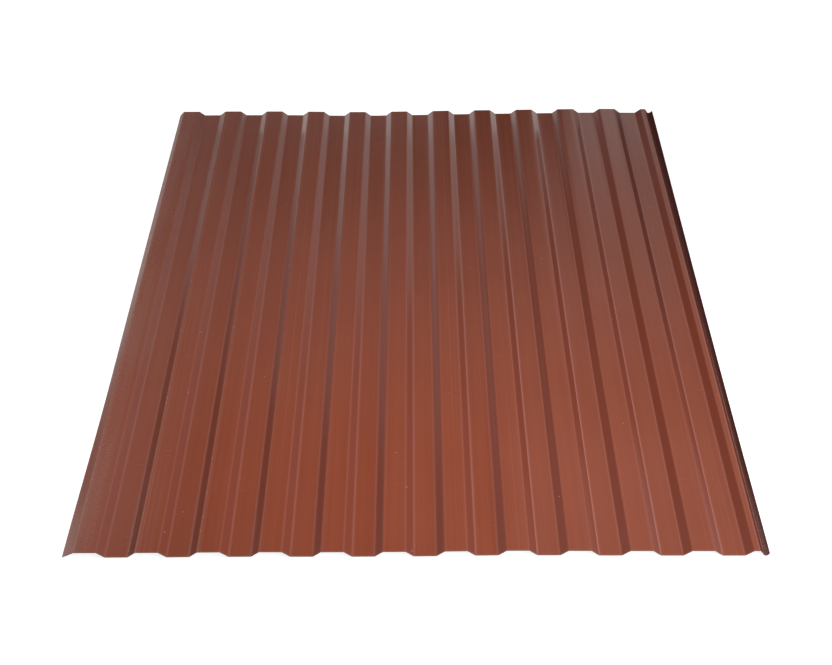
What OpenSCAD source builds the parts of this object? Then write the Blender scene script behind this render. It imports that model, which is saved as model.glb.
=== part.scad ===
// Trapezoidal profiled sheet, roll-formed from one strip of coated steel.
// The ribs run along Y and the sheet lies on its valleys, on the plane Z = 0.
// The free leg is at -X and the capillary groove at +X, so that sheets lap side by side.

/* [Sheet] */
// Length of the sheet, along its ribs
sheet_length = 1500; // [300:10:6000]
// Thickness of the coated strip
sheet_thickness = 0.5; // [0.4:0.05:1]
// Inside radius of every bend
bend_radius = 2.5; // [1:0.25:4]

/* [Ribs] */
// Number of full ribs
rib_count = 11; // [2:1:14]
// Height of the ribs over the valleys
rib_height = 10; // [6:0.5:20]
// Width of the flat top of a rib, corner to corner
rib_top_width = 37; // [20:0.5:60]
// Width of the flat valley beside a rib, corner to corner
valley_width = 37; // [20:0.5:80]
// Sideways run of a rib's sloping flank
flank_run = 13; // [5:0.5:30]

/* [Free edge] */
// Sideways run of the leg that laps over the next sheet
free_leg_run = 12; // [8:0.5:30]
// Height at which the leg ends over the valleys
free_leg_lift = 0.2; // [0:0.1:3]

/* [Capillary edge] */
// Width of the flat top of the narrow last rib, corner to corner
narrow_rib_top_width = 11; // [8:0.5:30]
// Sideways run of the steep flank from the narrow rib down to the groove
groove_flank_run = 6.5; // [3:0.5:12]
// Width of the groove's floor, corner to corner
groove_floor_width = 5; // [4:0.5:12]
// Sideways run of the lip that closes the groove
lip_run = 3.5; // [1:0.5:6]
// Height of the lip over the groove's floor
lip_height = 5.5; // [2:0.5:8]

/* [Hidden] */

// Copper-brown coating
coat_colour = "#8f4e38";
// Straight steps that each bend is drawn with
bend_steps = 5;
// Largest share of a straight stretch that the bend at one of its ends may take
bend_share = 0.45;

// Distance from one rib to the next
rib_pitch = rib_top_width + valley_width + 2 * flank_run;
// Distance from the strip's middle to each of its faces
half_thickness = sheet_thickness / 2;

// Corners of the section on the strip's middle, as if it were folded sharp, from the free leg
// to the lip, with the first rib's left shoulder at X = 0
function rib_corners(left) =
    let (
        right = left + rib_top_width,
        foot = right + flank_run
    )
    [
        [left, rib_height],
        [right, rib_height],
        [foot, 0],
        [foot + valley_width, 0]
    ];

function groove_corners(left) =
    let (
        right = left + narrow_rib_top_width,
        foot = right + groove_flank_run,
        lip_foot = foot + groove_floor_width
    )
    [
        [left, rib_height],
        [right, rib_height],
        [foot, 0],
        [lip_foot, 0],
        [lip_foot + lip_run, lip_height]
    ];

corners = concat(
    [[-free_leg_run, free_leg_lift]],
    [for (i = [0 : rib_count - 1]) each rib_corners(i * rib_pitch)],
    groove_corners(rib_count * rib_pitch)
);
last_corner = len(corners) - 1;

// Direction from one point to another, a direction turned by an angle, and the side to its left
function way(from, to) = (to - from) / norm(to - from);
function turned(v, angle) = [v.x * cos(angle) - v.y * sin(angle), v.x * sin(angle) + v.y * cos(angle)];
function left_of(v) = [-v.y, v.x];

// One bend, drawn at a distance over the strip's middle. Its radius is positive where the strip
// turns up, and it is tightened where the straight stretches beside it are short.
function bend(before, corner, after, over) =
    let (
        way_in = way(before, corner),
        way_out = way(corner, after),
        turn = atan2(left_of(way_in) * way_out, way_in * way_out),
        half_tan = tan(abs(turn) / 2),
        room = bend_share * min(norm(corner - before), norm(after - corner)),
        reach = min((bend_radius + half_thickness) * half_tan, room),
        radius = sign(turn) * reach / half_tan,
        centre = corner - reach * way_in + radius * left_of(way_in)
    )
    [for (i = [0 : bend_steps]) centre + (over - radius) * left_of(turned(way_in, turn * i / bend_steps))];

// One face of the strip from the free leg to the lip, at a distance over the strip's middle
function face_line(over) = concat(
    [corners[0] + over * left_of(way(corners[0], corners[1]))],
    [for (i = [1 : last_corner - 1]) each bend(corners[i - 1], corners[i], corners[i + 1], over)],
    [corners[last_corner] + over * left_of(way(corners[last_corner - 1], corners[last_corner]))]
);

function reversed(list) = [for (i = [len(list) - 1 : -1 : 0]) list[i]];

section = concat(face_line(half_thickness), reversed(face_line(-half_thickness)));
section_middle = (min([for (p = section) p.x]) + max([for (p = section) p.x])) / 2;
section_bottom = min([for (p = section) p.y]);

// The whole sheet, one strip with its section drawn out along its length
module profiled_sheet() {
    color(coat_colour)
        rotate([90, 0, 0])
            linear_extrude(height = sheet_length, center = true)
                translate([-section_middle, -section_bottom])
                    polygon(section);
}

profiled_sheet();
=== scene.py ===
from math import atan2, pi, radians, sin, tan

import bpy
from mathutils import Matrix, Vector


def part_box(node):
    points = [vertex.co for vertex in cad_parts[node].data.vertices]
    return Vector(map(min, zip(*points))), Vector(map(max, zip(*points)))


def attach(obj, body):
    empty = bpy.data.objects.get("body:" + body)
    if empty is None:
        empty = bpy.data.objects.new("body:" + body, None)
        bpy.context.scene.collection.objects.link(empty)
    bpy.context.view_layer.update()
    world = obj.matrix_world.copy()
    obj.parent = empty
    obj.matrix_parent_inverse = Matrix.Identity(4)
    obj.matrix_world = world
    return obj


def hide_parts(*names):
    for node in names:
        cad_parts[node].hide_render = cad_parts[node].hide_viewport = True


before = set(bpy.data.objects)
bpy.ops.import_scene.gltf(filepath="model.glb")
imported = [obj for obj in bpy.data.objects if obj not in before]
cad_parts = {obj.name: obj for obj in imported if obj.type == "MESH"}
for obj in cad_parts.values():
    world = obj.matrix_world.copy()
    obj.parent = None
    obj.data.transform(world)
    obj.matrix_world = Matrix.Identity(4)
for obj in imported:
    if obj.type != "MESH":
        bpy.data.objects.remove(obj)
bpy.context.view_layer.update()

# The profiled sheet is one strip of galvanised steel, coated brown above and grey below. Rollers fold it
# across its width into low, flat-topped ribs, with a free leg on the left and a capillary groove on the
# right. Its middle is folded out here stretch by stretch. Then come the bends and the steel's thickness.
sheet_low, sheet_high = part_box("profiled_sheet")
sheet_width = sheet_high.x - sheet_low.x
sheet_length = sheet_high.y - sheet_low.y
steel_thickness = 0.0005
fold_radius = 0.003
rib_count = 11
rib_height = 0.010
rib_top_width = 0.037
valley_width = 0.037
flank_run = 0.013
rib_pitch = rib_top_width + valley_width + 2 * flank_run
leg_run = 0.012
leg_rise = 0.0098
narrow_rib_width = 0.011
groove_flank_run = 0.0065
groove_floor_width = 0.005
lip_run = 0.0035
lip_height = 0.0055

# The free leg is a grid, and its inner edge is raised to the top of the first rib
leg_slope = atan2(leg_rise, leg_run)
left_edge = sheet_low.x + steel_thickness / 2 * sin(leg_slope)
leg_middle = left_edge + leg_run / 2
first_shoulder = left_edge + leg_run
valley_level = sheet_low.z + steel_thickness / 2
rib_level = valley_level + rib_height
length_steps = 75

bpy.ops.object.select_all(action="DESELECT")
bpy.ops.mesh.primitive_grid_add(x_subdivisions=1, y_subdivisions=length_steps, size=1)
sheet = bpy.context.object
sheet.name = sheet.data.name = "coated_sheet"
bpy.ops.object.mode_set(mode="EDIT")
bpy.ops.transform.resize(value=(leg_run, sheet_length, 1))
bpy.ops.transform.translate(value=(leg_middle, 0, rib_level - leg_rise))


def pick_edges(piece, wanted):
    """Leaves selected in edit mode only the edges that a test of their two ends picks."""
    bpy.ops.mesh.select_mode(type="EDGE")
    bpy.ops.mesh.select_all(action="DESELECT")
    bpy.ops.object.mode_set(mode="OBJECT")
    points = piece.data.vertices
    for edge in piece.data.edges:
        start, end = (points[index].co for index in edge.vertices)
        edge.select = wanted(start, end)
    bpy.ops.object.mode_set(mode="EDIT")


pick_edges(sheet, lambda start, end: min(start.x, end.x) > leg_middle)
bpy.ops.transform.translate(value=(0, 0, leg_rise))

# The other stretches follow to the right, each with its run, its rise and the columns of faces in it
flat_columns = 4
short_columns = 2
one_rib = [
    (rib_top_width, 0, flat_columns),
    (flank_run, -rib_height, short_columns),
    (valley_width, 0, flat_columns),
    (flank_run, rib_height, short_columns),
]
capillary_edge = [
    (narrow_rib_width, 0, short_columns),
    (groove_flank_run, -rib_height, short_columns),
    (groove_floor_width, 0, short_columns),
    (lip_run, lip_height, short_columns),
]
narrow_shoulder = first_shoulder + rib_count * rib_pitch
fold = first_shoulder
rib_folds = []
groove_folds = []
for run, rise, columns in one_rib * rib_count + capillary_edge:
    in_groove = fold > narrow_shoulder + narrow_rib_width / 2
    (groove_folds if in_groove else rib_folds).append(fold)
    fold += run
    step = (run / columns, 0, rise / columns)
    for column in range(columns):
        bpy.ops.mesh.extrude_edges_move(TRANSFORM_OT_translate={"value": step})
lip_edge = fold

# Every fold is rounded, by as far along its two sides as its radius and its turn call for
fold_segments = 4
fold_tolerance = 0.0005
for folds, turn in (
    (rib_folds, atan2(rib_height, flank_run)),
    (groove_folds, atan2(rib_height, groove_flank_run)),
):
    pick_edges(
        sheet,
        lambda start, end: abs(start.x - end.x) < fold_tolerance
        and min(abs(start.x - place) for place in folds) < fold_tolerance,
    )
    bpy.ops.mesh.bevel(offset=fold_radius * tan(turn / 2), segments=fold_segments, affect="EDGES")
bpy.ops.object.mode_set(mode="OBJECT")


def push(piece, name, rows, axis, group=""):
    """Shifts a piece along one axis by a lattice: rows from near to far, each from left to right."""
    bpy.ops.object.select_all(action="DESELECT")
    bpy.ops.object.add(type="LATTICE", location=(0, 0, rib_height / 2))
    cage = bpy.context.object
    cage.scale = (sheet_width, sheet_length, 1)
    cage.data.points_u = len(rows[0])
    cage.data.points_v = len(rows)
    cage.data.points_w = 1
    cage.data.interpolation_type_u = "KEY_CATMULL_ROM" if len(rows[0]) > 2 else "KEY_LINEAR"
    cage.data.interpolation_type_v = "KEY_CATMULL_ROM" if len(rows) > 2 else "KEY_LINEAR"
    shifts = [shift for row in rows for shift in row]
    for point, shift in zip(cage.data.points, shifts):
        point.co_deform[axis] += shift / cage.scale[axis]
    bpy.context.view_layer.objects.active = piece
    modifier = piece.modifiers.new(name, "LATTICE")
    modifier.object = cage
    modifier.vertex_group = group
    bpy.ops.object.modifier_apply(modifier=name)
    bpy.data.objects.remove(cage)


# Handling has bent the two long edges: the leg flares at the near end, and the lip leans out at the far end.
# Each row of shifts has the leg's and then the lip's. The lip moves most at its edge.
bent_lip_share = 0.8
edge_shifts = (
    (-0.0068, -0.0004),
    (-0.0020, -0.0012),
    (-0.0008, -0.0007),
    (0.0006, 0.0008),
    (0.0023, 0.0025),
)
leg_and_lip = sheet.vertex_groups.new(name="leg_and_lip")
for point in sheet.data.vertices:
    if point.co.x < leg_middle:
        leg_and_lip.add([point.index], 1, "REPLACE")
    elif point.co.x > lip_edge - lip_run * bent_lip_share:
        leg_and_lip.add([point.index], 1 - (lip_edge - point.co.x) / lip_run, "REPLACE")
push(sheet, "bent_edges", edge_shifts, 0, leg_and_lip.name)
sheet.vertex_groups.clear()

# The thin sheet doesn't lie quite flat: nine points across each end lift it by a few millimetres
near_lifts = (0.0036, 0.0033, 0.0037, 0.0028, 0.0027, 0.0040, 0.0026, 0.0014, 0.0003)
far_lifts = (0.0027, 0.0029, 0.0021, 0.0000, 0.0011, 0.0031, 0.0043, 0.0055, 0.0040)
push(sheet, "bow", (near_lifts, far_lifts), 2)

# The flats are a little uneven, as thin rolled steel is
ripple_size = 0.16
ripple_height = 0.0004
ripple_texture = bpy.data.textures.new("ripple", "CLOUDS")
ripple_texture.noise_scale = ripple_size
ripple = sheet.modifiers.new("ripple", "DISPLACE")
ripple.texture = ripple_texture
ripple.direction = "Z"
ripple.strength = ripple_height
ripple.mid_level = 0.5
bpy.ops.object.modifier_apply(modifier="ripple")

# The steel's thickness: the underside takes the second material and the cut edges take the third
thickness = sheet.modifiers.new("thickness", "SOLIDIFY")
thickness.thickness = steel_thickness
thickness.offset = 0
thickness.use_even_offset = True
thickness.material_offset = 1
thickness.material_offset_rim = 2


def add_node(tree, kind, feeds=None, **settings):
    """Adds a node with its settings, and feeds its inputs with values or with other nodes' outputs."""
    node = tree.nodes.new(kind)
    for name, value in settings.items():
        setattr(node, name, value)
    for name, value in (feeds or {}).items():
        if isinstance(value, bpy.types.NodeSocket):
            tree.links.new(value, node.inputs[name])
        else:
            node.inputs[name].default_value = value
    return node


def maths(tree, operation, first, second=0.0):
    """Works out one value from two, or from the first alone where the operation needs no more."""
    return add_node(tree, "ShaderNodeMath", {0: first, 1: second}, operation=operation).outputs[0]


def times(tree, first, *others):
    """Multiplies a value by each of the others."""
    for other in others:
        first = maths(tree, "MULTIPLY", first, other)
    return first


def plus(tree, first, *others):
    """Adds each of the others to a value."""
    for other in others:
        first = maths(tree, "ADD", first, other)
    return first


def fade(tree, value, start, end, low=0.0, high=1.0):
    """Goes smoothly from low to high while a value goes from start to end."""
    feeds = {"Value": value, "From Min": start, "From Max": end, "To Min": low, "To Max": high}
    return add_node(tree, "ShaderNodeMapRange", feeds, interpolation_type="SMOOTHSTEP").outputs["Result"]


def line(tree, value, middle, width):
    """A soft line: 1 where a value is at the middle, and 0 from half the width away."""
    distance = maths(tree, "ABSOLUTE", maths(tree, "SUBTRACT", value, middle))
    return fade(tree, distance, start=0.0, end=width / 2, low=1.0, high=0.0)


def grain(tree, place, per_metre, detail=2.0):
    """Noise with its own number of features per metre along each axis."""
    scaled = add_node(tree, "ShaderNodeVectorMath", {0: place, 1: per_metre}, operation="MULTIPLY")
    feeds = {"Vector": scaled.outputs["Vector"], "Scale": 1.0, "Detail": detail}
    return add_node(tree, "ShaderNodeTexNoise", feeds).outputs[0]


def chance(tree, number, seed):
    """A value from 0 to 1 that is drawn once for each whole number."""
    feeds = {"Vector": add_node(tree, "ShaderNodeCombineXYZ", {"X": number, "Y": seed}).outputs[0]}
    return add_node(tree, "ShaderNodeTexWhiteNoise", feeds, noise_dimensions="2D").outputs["Value"]


def lay(tree, under, over, *shares):
    """Lays one colour over another, by the product of shares that vary over the surface."""
    feeds = {0: times(tree, *shares), 6: under, 7: over}
    return add_node(tree, "ShaderNodeMix", feeds, data_type="RGBA").outputs[2]


def new_material(name):
    """Makes an empty material: returns it, its node tree, places on the piece and its Surface input."""
    material = bpy.data.materials.new(name)
    material.use_nodes = True
    tree = material.node_tree
    tree.nodes.clear()
    place = add_node(tree, "ShaderNodeTexCoord").outputs["Object"]
    surface = add_node(tree, "ShaderNodeOutputMaterial").inputs["Surface"]
    return material, tree, place, surface


def new_group(name, values, result):
    """Starts a node group that takes a place and named values, and puts out one result."""
    group = bpy.data.node_groups.new(name, "ShaderNodeTree")
    group.interface.new_socket("Place", in_out="INPUT", socket_type="NodeSocketVector")
    for value in values:
        group.interface.new_socket(value, in_out="INPUT", socket_type="NodeSocketFloat")
    group.interface.new_socket(result, in_out="OUTPUT", socket_type="NodeSocketFloat")
    return group, add_node(group, "NodeGroupInput").outputs, add_node(group, "NodeGroupOutput").inputs


def use_group(tree, group, **values):
    """Places a node group in a material with its own values."""
    return add_node(tree, "ShaderNodeGroup", values, node_tree=group).outputs[0]


# The rollers and the coating line leave fine streaks along the strip
streaks_along = 0.6
roll_streaks, given, put_out = new_group("roll_streaks", ["Width"], "Streak")
streaks_across = maths(roll_streaks, "DIVIDE", 1.0, given["Width"])
stretch = add_node(roll_streaks, "ShaderNodeCombineXYZ", {"X": streaks_across, "Y": streaks_along})
streak = grain(roll_streaks, given["Place"], per_metre=stretch.outputs[0], detail=3.0)
roll_streaks.links.new(fade(roll_streaks, streak, start=0.32, end=0.68), put_out["Streak"])

# The coatings dry with a fine peel
coat_peel, given, put_out = new_group("coat_peel", ["Grain"], "Height")
peels_per_metre = maths(coat_peel, "DIVIDE", 1.0, given["Grain"])
peel = grain(coat_peel, given["Place"], per_metre=peels_per_metre, detail=1.0)
coat_peel.links.new(peel, put_out["Height"])

# Sheets that slide over each other in a stack leave short scuffs across the ribs, in patches
stack_scuffs, given, put_out = new_group("stack_scuffs", ["Spread"], "Scuff")
dashes = grain(stack_scuffs, given["Place"], per_metre=(45, 620, 0), detail=1.0)
dashes = fade(stack_scuffs, dashes, start=0.62, end=0.76)
patches = grain(stack_scuffs, given["Place"], per_metre=(7, 11, 0))
patches = fade(stack_scuffs, plus(stack_scuffs, patches, given["Spread"]), start=0.5, end=0.7)
stack_scuffs.links.new(times(stack_scuffs, dashes, patches), put_out["Scuff"])

# A few specks of dust and chipped coating lie about on both sides, each in a cell of its own. Most cells
# stay clean.
clean_share = 0.7
dust_specks, given, put_out = new_group("dust_specks", ["Spacing", "Size"], "Speck")
spacings = add_node(dust_specks, "ShaderNodeVectorMath", {
    0: given["Place"],
    "Scale": maths(dust_specks, "DIVIDE", 1.0, given["Spacing"]),
}, operation="SCALE")
cells = add_node(dust_specks, "ShaderNodeTexVoronoi", {
    "Vector": spacings.outputs["Vector"],
    "Scale": 1.0,
}, voronoi_dimensions="2D")
from_speck = times(dust_specks, cells.outputs["Distance"], given["Spacing"])
dot = maths(dust_specks, "LESS_THAN", from_speck, given["Size"])
draw = add_node(dust_specks, "ShaderNodeSeparateColor", {"Color": cells.outputs["Color"]})
kept = maths(dust_specks, "GREATER_THAN", draw.outputs["Red"], clean_share)
dust_specks.links.new(times(dust_specks, dot, kept), put_out["Speck"])

# The topcoat is a brown polyester paint, rolled on and baked before the strip is folded. Rollers, stacking
# and handling have marked it since. Their marks, and painted shade, highlights and sheen, are laid over it
# here one by one.
topcoat, tree, place, surface = new_material("brown_topcoat")
axes = add_node(tree, "ShaderNodeSeparateXYZ", {"Vector": place}).outputs
across = axes["X"]
along = axes["Y"]
near_end = sheet_low.y
ribs_across = maths(tree, "DIVIDE", maths(tree, "SUBTRACT", across, first_shoulder), rib_pitch)
rib = maths(tree, "FLOOR", ribs_across)
pitch_share = maths(tree, "FRACT", ribs_across)

# Its colour varies a little in fine streaks and in broad clouds
deep_brown = (0.258, 0.057, 0.027, 1)
full_brown = (0.286, 0.068, 0.033, 1)
streak_depth = 0.35
cloud_depth = 0.3
fine_streaks = use_group(tree, roll_streaks, Place=place, Width=0.0035)
broad_streaks = use_group(tree, roll_streaks, Place=place, Width=0.016)
clouds = grain(tree, place, per_metre=(5, 5, 5), detail=3.0)
clouds = fade(tree, clouds, start=0.35, end=0.65, high=cloud_depth)
tone = plus(tree, times(tree, plus(tree, fine_streaks, broad_streaks), streak_depth), clouds)
colour = lay(tree, deep_brown, full_brown, tone)

# The flanks get painted shade, a deeper brown than the flats, but towards the far end it fades on all except
# the last ones
flank_shade_brown = (0.225, 0.047, 0.024, 1)
flank_shade_depth = 0.95
shade_fade_depth = 0.6
half_flank_share = flank_run / rib_pitch / 2
right_flank_share = rib_top_width / rib_pitch + half_flank_share
left_flank_share = 1 - half_flank_share
on_right_flank, on_left_flank = (
    fade(tree, line(tree, pitch_share, middle_share, 4 * half_flank_share), start=0.4, end=0.6)
    for middle_share in (right_flank_share, left_flank_share)
)
on_flank = plus(tree, on_right_flank, on_left_flank)
on_leg = fade(tree, across, start=first_shoulder - fold_radius, end=first_shoulder, low=1.0, high=0.0)
off_leg = maths(tree, "SUBTRACT", 1.0, on_leg)
shade_faded = times(
    tree,
    fade(tree, along, start=-0.4, end=0.5),
    fade(tree, across, start=0.1, end=0.35, low=shade_fade_depth, high=0.0),
)
colour = lay(tree, colour, flank_shade_brown, on_flank, off_leg, maths(tree, "SUBTRACT", flank_shade_depth, shade_faded))

# The rollers' edges rub pale lines along the flats. Every rib has its own, and they come and go.
rubbed_brown = (0.42, 0.150, 0.105, 1)
wander_share = 0.05
place_seed = 0.5
strength_seed = 20.5
along_rib = add_node(tree, "ShaderNodeCombineXYZ", {"X": rib, "Y": along}).outputs[0]
come_and_go = fade(tree, grain(tree, along_rib, per_metre=(3.7, 2.3, 0)), start=0.3, end=0.6)
roll_marks = 0.0
for number, (mark_share, width_share) in enumerate((
    (0.06, 0.022),
    (0.14, 0.016),
    (0.22, 0.030),
    (0.28, 0.012),
    (0.66, 0.014),
    (0.74, 0.018),
)):
    shift = maths(tree, "SUBTRACT", chance(tree, rib, number + place_seed), 0.5)
    middle_share = plus(tree, times(tree, shift, wander_share), mark_share)
    strength = fade(tree, chance(tree, rib, number + strength_seed), start=0.3, end=1.0)
    roll_mark = times(tree, line(tree, pitch_share, middle_share, width_share), strength)
    roll_marks = maths(tree, "MAXIMUM", roll_marks, roll_mark)
roll_marks = times(tree, roll_marks, come_and_go)
mark_depth = fade(tree, across, start=-0.5, end=-0.2, low=0.55, high=0.3)
colour = lay(tree, colour, rubbed_brown, roll_marks, mark_depth)

# The folds get painted highlights as pale lines, and the feet of the flanks get the brightest, most of all
# on the right half. Each line has its place and width as shares of the pitch, and its depth on the left and
# right.
highlight_brown = (0.52, 0.230, 0.200, 1)
fold_highlights = 0.0
for middle_share, width_share, left_depth, right_depth in (
    (0.020, 0.060, 0.06, 0.06),
    (0.366, 0.055, 0.10, 0.10),
    (0.506, 0.075, 0.17, 0.17),
    (0.857, 0.075, 0.12, 0.12),
    (0.996, 0.035, 0.05, 0.05),
    (0.500, 0.022, 0.10, 0.75),
    (0.860, 0.022, 0.00, 0.30),
):
    depth = fade(tree, across, start=-0.1, end=0.3, low=left_depth, high=right_depth)
    fold_highlight = times(tree, line(tree, pitch_share, middle_share, width_share), depth)
    fold_highlights = maths(tree, "MAXIMUM", fold_highlights, fold_highlight)
colour = lay(tree, colour, highlight_brown, fold_highlights)

# The left shoulders of the left-hand ribs are worn and get a painted highlight, with the primer showing in
# short flecks
worn_and_highlight_orange = (0.46, 0.170, 0.095, 1)
primer_white = (0.78, 0.66, 0.60, 1)
wear_and_highlight_depth = 0.4
fleck_depth = 0.5
on_left_ribs = fade(tree, across, start=-0.5, end=-0.05, low=1.0, high=0.0)
shoulder_wear_and_highlight = 0.0
for middle_share, width_share, strength in (
    (0.012, 0.020, 1.0),
    (1.000, 0.008, 1.0),
    (0.058, 0.016, 0.7),
):
    wear_and_highlight_line = times(tree, line(tree, pitch_share, middle_share, width_share), strength)
    shoulder_wear_and_highlight = plus(tree, shoulder_wear_and_highlight, wear_and_highlight_line)
colour = lay(tree, colour, worn_and_highlight_orange, shoulder_wear_and_highlight, on_left_ribs, wear_and_highlight_depth)
flecks = fade(tree, grain(tree, place, per_metre=(30, 95, 0), detail=3.0), start=0.63, end=0.68)
fleck_line = line(tree, pitch_share, middle=0.012, width=0.012)
colour = lay(tree, colour, primer_white, flecks, fleck_line, on_left_ribs, fleck_depth)

# Handling has rubbed the leg pale towards its near end
leg_rub_depth = 0.5
leg_rub = fade(tree, along, start=near_end, end=0.0, low=leg_rub_depth, high=0.0)
colour = lay(tree, colour, rubbed_brown, on_leg, leg_rub)

# A thin grey film of dust and rubbed coating, with a painted sheen in it, lies over the first ribs, most of
# all beside the leg. A painted sheen of the same grey lies over both ends of the leg, on the far ends of the
# first flanks that face left and on the near ends of the last ones that face right.
dust_and_sheen_grey = (0.60, 0.46, 0.44, 1)
dust_and_sheen_depth = 0.11
dust_and_sheen = plus(
    tree,
    fade(tree, across, start=-0.56, end=-0.36, low=0.6, high=0.0),
    fade(tree, across, start=-0.545, end=-0.525, low=0.6, high=0.0),
)
film_mottle = fade(tree, grain(tree, place, per_metre=(130, 330, 0)), start=0.3, end=0.7, low=0.65)
film_patches = fade(tree, grain(tree, place, per_metre=(22, 4, 0)), start=0.35, end=0.65, low=0.6)
dust_and_sheen = times(tree, dust_and_sheen, film_mottle, film_patches)
leg_sheen = plus(
    tree,
    fade(tree, along, start=near_end, end=-0.55, low=0.6, high=0.1),
    fade(tree, along, start=0.1, end=0.7, high=2.2),
)
dust_and_sheen = add_node(tree, "ShaderNodeMix", {0: on_leg, 2: dust_and_sheen, 3: leg_sheen}).outputs[0]
far_left_sheen = times(
    tree,
    on_left_flank,
    fade(tree, across, start=-0.47, end=-0.33, low=1.6, high=0.0),
    fade(tree, along, start=-0.2, end=0.3),
)
near_right_sheen = times(
    tree,
    on_right_flank,
    fade(tree, across, start=0.15, end=0.5, high=0.7),
    fade(tree, along, start=near_end, end=-0.4, low=1.0, high=0.0),
)
dust_and_sheen = plus(tree, dust_and_sheen, far_left_sheen, near_right_sheen)
colour = lay(tree, colour, dust_and_sheen_grey, dust_and_sheen, dust_and_sheen_depth)

# The guillotine has rubbed the near end grey along its cut
guillotine_grey = (0.255, 0.156, 0.138, 1)
cut_rub_width = 0.004
cut_rub_depth = 0.5
cut_rub = fade(tree, along, start=near_end, end=near_end + cut_rub_width, low=cut_rub_depth, high=0.0)
colour = lay(tree, colour, guillotine_grey, cut_rub)

# Scuffs lie on the flats alone, because a sheet above rests on these, and specks lie anywhere
scuffed_brown = (0.44, 0.190, 0.145, 1)
speck_white = (0.80, 0.76, 0.74, 1)
scuff_depth = 0.16
speck_depth = 0.5
scuffs = use_group(tree, stack_scuffs, Place=place, Spread=0.0)
scuffs = times(tree, scuffs, maths(tree, "SUBTRACT", 1.0, on_flank))
specks = use_group(tree, dust_specks, Place=place, Spacing=0.13, Size=0.0008)
colour = lay(tree, colour, scuffed_brown, scuffs, scuff_depth)
colour = lay(tree, colour, speck_white, specks, speck_depth)

# The narrow rib's outer shoulder gets a painted highlight. Beyond it dull grime and painted shade darken the
# capillary groove and its lip, and painted shade darkens the far part of the last full rib's right flank
# before it.
grime_and_shade_brown = (0.085, 0.016, 0.012, 1)
grime_and_shade_depth = 0.9
shoulder_highlight_depth = 0.28
shoulder_highlight_width = 0.0032
groove_foot = narrow_shoulder + narrow_rib_width + groove_flank_run
outer_shoulder = groove_foot - 0.0083
grime_and_shade_start = groove_foot - 0.0075
grime_and_shade_full = groove_foot - 0.0062
shoulder_highlight = line(tree, across, outer_shoulder, shoulder_highlight_width)
colour = lay(tree, colour, highlight_brown, shoulder_highlight, shoulder_highlight_depth)
last_flank_shade = times(
    tree,
    on_right_flank,
    fade(tree, across, start=0.45, end=0.46, high=0.5),
    fade(tree, along, start=-0.4, end=0.1),
)
grime_and_shade = maths(tree, "MAXIMUM", fade(tree, across, grime_and_shade_start, grime_and_shade_full), last_flank_shade)
colour = lay(tree, colour, grime_and_shade_brown, grime_and_shade, grime_and_shade_depth)

# A pale mottled colour lies over the darkened groove: dust with a painted sheen along the foot of the
# groove's flank, and dust with painted light on the lip's near end
dust_and_sheen_mauve = (0.46, 0.280, 0.240, 1)
groove_dust_and_sheen_middle = groove_foot - 0.0008
groove_dust_and_sheen_width = 0.0044
lip_dust_and_light_middle = groove_foot + 0.005
lip_dust_and_light_width = 0.014
dust_mottle = grain(tree, place, per_metre=(260, 190, 0), detail=3.0)
dust_mottle = fade(tree, dust_mottle, start=0.35, end=0.7, low=0.35, high=0.80)
groove_dust_and_sheen = times(
    tree,
    line(tree, across, groove_dust_and_sheen_middle, groove_dust_and_sheen_width),
    fade(tree, along, start=-0.4, end=0.0, low=1.0, high=0.25),
)
lip_dust_and_light = times(
    tree,
    line(tree, across, lip_dust_and_light_middle, lip_dust_and_light_width),
    fade(tree, along, start=near_end, end=-0.5, low=0.4, high=0.0),
)
colour = lay(tree, colour, dust_and_sheen_mauve, maths(tree, "MAXIMUM", groove_dust_and_sheen, lip_dust_and_light), dust_mottle)

# The clean coat is glossy, and each kind of mark dulls it by its own measure
clean_roughness = 0.18
roughness = clean_roughness
for mark, dulling in (
    (broad_streaks, 0.04),
    (dust_and_sheen, 0.12),
    (grime_and_shade, 0.70),
    (scuffs, 0.10),
):
    roughness = plus(tree, roughness, times(tree, mark, dulling))


def add_relief(tree, height, strength):
    """Turns a height that varies over the surface into a fine relief."""
    feeds = {"Strength": strength, "Distance": relief_depth, "Height": height}
    return add_node(tree, "ShaderNodeBump", feeds).outputs["Normal"]


def add_shader(tree, surface, feeds):
    """Makes a material's shader, feeds its inputs and puts it out as the surface."""
    shader = add_node(tree, "ShaderNodeBsdfPrincipled", feeds)
    tree.links.new(shader.outputs["BSDF"], surface)


# The peel stands up from the coat, and the roll marks are pressed into it
relief_depth = 0.0001
peel_height = 0.3
mark_sink = 0.2
peel = use_group(tree, coat_peel, Place=place, Grain=0.0016)
height = maths(tree, "SUBTRACT", times(tree, peel, peel_height), times(tree, roll_marks, mark_sink))
relief = add_relief(tree, height, strength=0.2)
add_shader(tree, surface, {"Base Color": colour, "Roughness": roughness, "Normal": relief})

# The backing coat is a thin grey paint, rolled onto the underside in the same pass as the topcoat. It is
# duller, and stacking scuffs it more.
backing, tree, place, surface = new_material("grey_backing_coat")
dull_grey = (0.36, 0.37, 0.365, 1)
pale_grey = (0.46, 0.47, 0.46, 1)
scuffed_grey = (0.60, 0.61, 0.61, 1)
dust_brown = (0.30, 0.26, 0.22, 1)
streak_depth = 0.5
scuff_depth = 0.5
speck_depth = 0.7
clean_roughness = 0.38
streak_dulling = 0.1
fine_streaks = use_group(tree, roll_streaks, Place=place, Width=0.005)
broad_streaks = use_group(tree, roll_streaks, Place=place, Width=0.03)
scuffs = use_group(tree, stack_scuffs, Place=place, Spread=0.08)
specks = use_group(tree, dust_specks, Place=place, Spacing=0.05, Size=0.0012)
colour = lay(tree, dull_grey, pale_grey, plus(tree, fine_streaks, broad_streaks), streak_depth)
colour = lay(tree, colour, scuffed_grey, scuffs, scuff_depth)
colour = lay(tree, colour, dust_brown, specks, speck_depth)
roughness = plus(tree, times(tree, broad_streaks, streak_dulling), clean_roughness)
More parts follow.
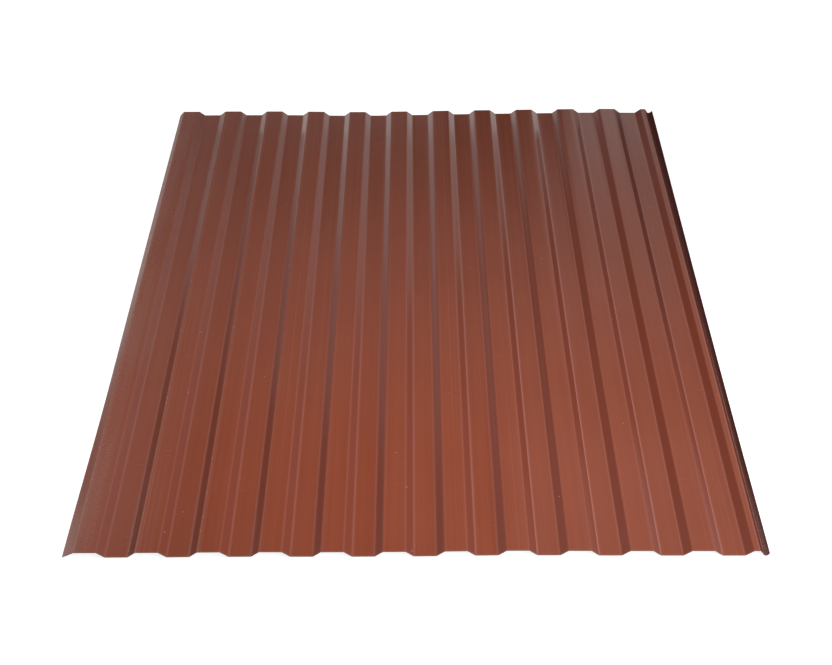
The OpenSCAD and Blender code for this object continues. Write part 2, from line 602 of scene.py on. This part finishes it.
relief = add_relief(tree, use_group(tree, coat_peel, Place=place, Grain=0.0022), strength=0.3)
add_shader(tree, surface, {"Base Color": colour, "Roughness": roughness, "Normal": relief})

# The guillotine and the slitter shear the strip, which leaves bare steel between the two coats. The topcoat
# is drawn over it in places. Both are given dark colours, as painted shade along the cut.
cut_edge, tree, place, surface = new_material("sheared_edge")
shaded_bare_steel = (0.12, 0.10, 0.095, 1)
shaded_drawn_coat = (0.09, 0.032, 0.023, 1)
smear = fade(tree, grain(tree, place, per_metre=(220, 60, 220), detail=3.0), start=0.25, end=0.5)
colour = lay(tree, shaded_bare_steel, shaded_drawn_coat, smear)
metal = maths(tree, "SUBTRACT", 1.0, smear)
add_shader(tree, surface, {"Base Color": colour, "Metallic": metal, "Roughness": 0.45})

# The sheet takes its coats and its thickness, and shows sharp corners only at the cuts
smooth_angle = radians(30)
for material in (topcoat, backing, cut_edge):
    sheet.data.materials.append(material)
bpy.ops.object.select_all(action="DESELECT")
sheet.select_set(True)
bpy.context.view_layer.objects.active = sheet
bpy.ops.object.modifier_apply(modifier="thickness")
bpy.ops.object.shade_smooth_by_angle(angle=smooth_angle)

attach(sheet, "root")
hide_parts("profiled_sheet")

# The camera stands in front of the sheet's near end, well above it, and looks down along the ribs. It is
# turned and rolled by a fraction of a degree, as a camera held by hand is.
camera_place = (-0.0035, -2.5069, 1.7435)
camera_tilt = radians(36.32)
camera_yaw = radians(-0.053)
camera_roll = radians(-0.253)
camera_lens = 65.48
camera_sensor = 36
camera_data = bpy.data.cameras.new("camera")
camera_data.lens = camera_lens
camera_data.sensor_width = camera_sensor
camera = bpy.data.objects.new("camera", camera_data)
camera.matrix_world = (
    Matrix.Translation(camera_place)
    @ Matrix.Rotation(camera_yaw, 4, "Z")
    @ Matrix.Rotation(radians(90) - camera_tilt, 4, "X")
    @ Matrix.Rotation(camera_roll, 4, "Z")
)
bpy.context.collection.objects.link(camera)
bpy.context.scene.camera = camera

# The floor is a wide pale sheet of card. It glows a little to show white, less round the sheet than further
# out, so that it still takes the sheet's shadow.
floor_level = -0.0006
floor_size = 80
shadow_reach = 0.7
white_reach = 2.0
shadow_glow = 0.8
white_glow = 1.0
card_white = (0.8, 0.8, 0.8, 1)
bpy.ops.object.select_all(action="DESELECT")
bpy.ops.mesh.primitive_plane_add(size=floor_size)
bpy.ops.object.mode_set(mode="EDIT")
bpy.ops.transform.translate(value=(0, 0, floor_level))
bpy.ops.object.mode_set(mode="OBJECT")
floor = bpy.context.object
floor.name = floor.data.name = "floor"
floor_card, tree, place, surface = new_material("white_card")
from_middle = add_node(tree, "ShaderNodeVectorMath", {0: place}, operation="LENGTH").outputs["Value"]
path = add_node(tree, "ShaderNodeLightPath").outputs
seen = maths(tree, "MAXIMUM", path["Is Camera Ray"], path["Is Glossy Ray"])
seen = maths(tree, "MAXIMUM", seen, path["Is Transmission Ray"])
glow_level = fade(tree, from_middle, shadow_reach, white_reach, shadow_glow, white_glow)
card = add_node(tree, "ShaderNodeBsdfDiffuse", {"Color": card_white})
glow = add_node(tree, "ShaderNodeEmission", {"Strength": times(tree, seen, glow_level)})
both = add_node(tree, "ShaderNodeAddShader", {0: card.outputs[0], 1: glow.outputs[0]})
tree.links.new(both.outputs[0], surface)
floor.data.materials.append(floor_card)

# Soft studio light: three boxes light the sheet, and the key box is screened so that it gives no glare.
# A row of panels far behind the sheet and two low cards at its far end show as a sheen on flats and flanks.
sky_white = (1, 1, 1, 1)
sky_level = 0.065
world = bpy.data.worlds.new("studio")
bpy.context.scene.world = world
world.use_nodes = True
sky = world.node_tree.nodes["Background"]
sky.inputs["Color"].default_value = sky_white
sky.inputs["Strength"].default_value = sky_level


def soft_box(name, place, aim, width, height, level):
    """Adds an area light of an even brightness, where 1 is white, that faces a point."""
    data = bpy.data.lights.new(name, "AREA")
    data.shape = "RECTANGLE"
    data.size = width
    data.size_y = height
    data.energy = pi * width * height * level
    box = bpy.data.objects.new(name, data)
    box.location = place
    box.rotation_euler = (Vector(aim) - Vector(place)).to_track_quat("-Z", "Y").to_euler()
    box.visible_camera = False
    bpy.context.collection.objects.link(box)
    return box


key_box = soft_box("key_box", (1.4, -1.3, 0.9), aim=(0.56, -0.52, 0), width=1.8, height=1.8, level=2.75)
key_box.visible_glossy = False
soft_box("front_box", (0, -0.6, 1.0), aim=(0, -0.24, 0), width=0.6, height=0.6, level=5.8)
soft_box("left_box", (-2.2, 0.5, 1.2), aim=(-0.88, 0.2, 0), width=1.6, height=1.6, level=1.95)
soft_box("left_end_card", (-0.18, 0.85, 0.02), aim=(-0.18, 0, 0.02), width=0.38, height=0.04, level=0.42)
soft_box("right_end_card", (0.21, 0.85, 0.02), aim=(0.21, 0, 0.02), width=0.40, height=0.04, level=0.72)
panel_distance = 4
for name, left, right, bottom, top, level in (
    ("low_right_panel", 0.9, 2.6, 0.4, 0.9, 0.68),
    ("right_strip", 0.72, 1.15, 1.3, 2.05, 0.98),
    ("right_panel", 1.15, 2.6, 0.9, 2.0, 0.36),
    ("high_right_panel", 0.75, 2.6, 2.05, 3.2, 0.47),
    ("upper_right_panel", 0.5, 4.8, 3.7, 5.5, 0.43),
    ("far_right_panel", 2.6, 5.5, 0.9, 2.6, 0.16),
    ("low_far_right_panel", 4.3, 6.0, 0.0, 0.7, 0.6),
    ("middle_panel", -1.8, 0.8, 2.2, 3.5, 0.21),
    ("left_panel", -1.3, 0.1, 1.2, 1.8, 0.38),
    ("low_left_panel", -2.6, -0.9, 0.0, 0.85, 0.70),
    ("far_left_panel", -3.7, -2.6, 0.0, 1.4, 0.35),
    ("high_left_panel", -4.6, -3.2, 1.4, 3.0, 0.18),
    ("upper_left_panel", -4.7, -1.5, 3.1, 5.0, 0.31),
):
    middle = ((left + right) / 2, panel_distance, (bottom + top) / 2)
    soft_box(name, middle, (middle[0], 0, middle[2]), right - left, top - bottom, level)

bpy.context.scene.view_settings.view_transform = "Standard"
